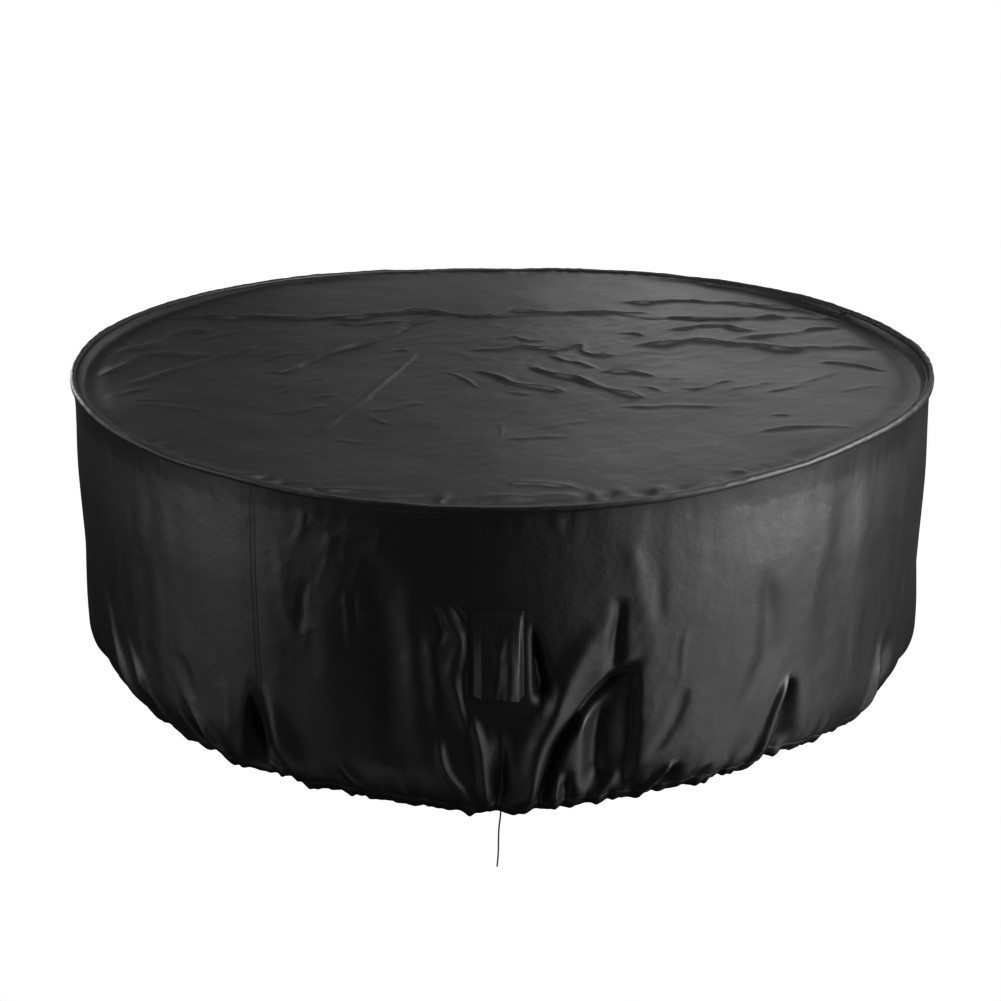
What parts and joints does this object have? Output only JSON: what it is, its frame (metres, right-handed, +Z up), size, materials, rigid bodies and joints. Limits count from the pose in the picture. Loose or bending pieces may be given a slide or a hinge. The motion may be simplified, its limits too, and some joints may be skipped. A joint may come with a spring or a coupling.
{
  "type": "round patio furniture cover",
  "caption": "Round fitted cover with a piped rim, a gathered skirt, a vent hood and a drawstring tail, hollow and open below.",
  "frame": {"origin": "underside of the top at its centre, where the furniture carries the cover", "axes": "+Z up, the front with the vent hood towards -Y, +X to the right as seen from the front"},
  "size_m": [2.134, 2.1745, 0.892],
  "materials": {
    "cover_cloth": "black coated woven polyester with a soft sheen",
    "rim_binding": "black polyester folded over a piping core",
    "drawstring_cord": "matt black braided cord"
  },
  "bodies": {
    "root": {"top_main": "cover_cloth", "top_rear": "cover_cloth", "rim_piping": "rim_binding", "skirt_right": "cover_cloth", "skirt_left": "cover_cloth", "vent_hood": "cover_cloth", "drawstring_tail": "drawstring_cord"}
  },
  "joints": []
}
